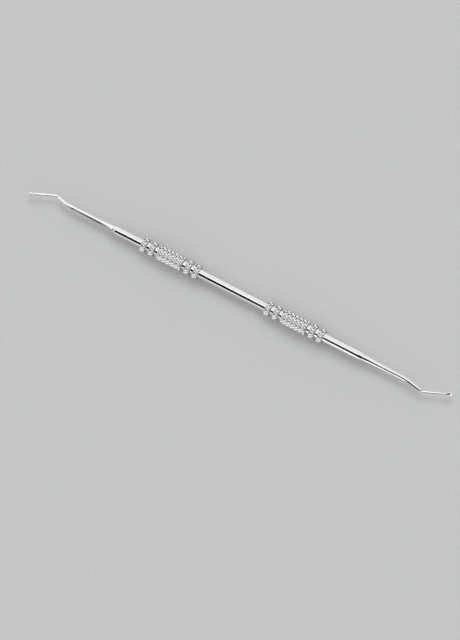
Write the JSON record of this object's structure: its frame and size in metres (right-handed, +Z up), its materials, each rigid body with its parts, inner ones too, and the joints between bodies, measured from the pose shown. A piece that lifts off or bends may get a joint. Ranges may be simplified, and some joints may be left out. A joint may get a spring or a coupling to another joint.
{
  "type": "pedicure curette",
  "caption": "Slim double-ended steel curette with a round rod handle, knurled grips and rings, and tapered bent stems that end in small cups.",
  "frame": {"origin": "centre of the bounding box on the surface that the tool lies on, straight under the middle of its length", "axes": "+X along the handle towards the end whose cup opens upwards, +Z up, with both bent ends lying level"},
  "size_m": [0.179, 0.0064, 0.0058],
  "materials": {
    "polished_steel": "polished stainless steel",
    "knurled_steel": "stainless steel with a pressed diamond knurl"
  },
  "bodies": {
    "root": {"handle_rod": "polished_steel", "left_curette_stem": "polished_steel", "right_curette_stem": "polished_steel", "left_grip_sleeve": "knurled_steel", "right_grip_sleeve": "knurled_steel", "left_outer_ring_1": "knurled_steel", "left_outer_ring_2": "knurled_steel", "left_inner_ring_1": "knurled_steel", "left_inner_ring_2": "knurled_steel", "right_inner_ring_1": "knurled_steel", "right_inner_ring_2": "knurled_steel", "right_outer_ring_1": "knurled_steel", "right_outer_ring_2": "knurled_steel"}
  },
  "joints": []
}
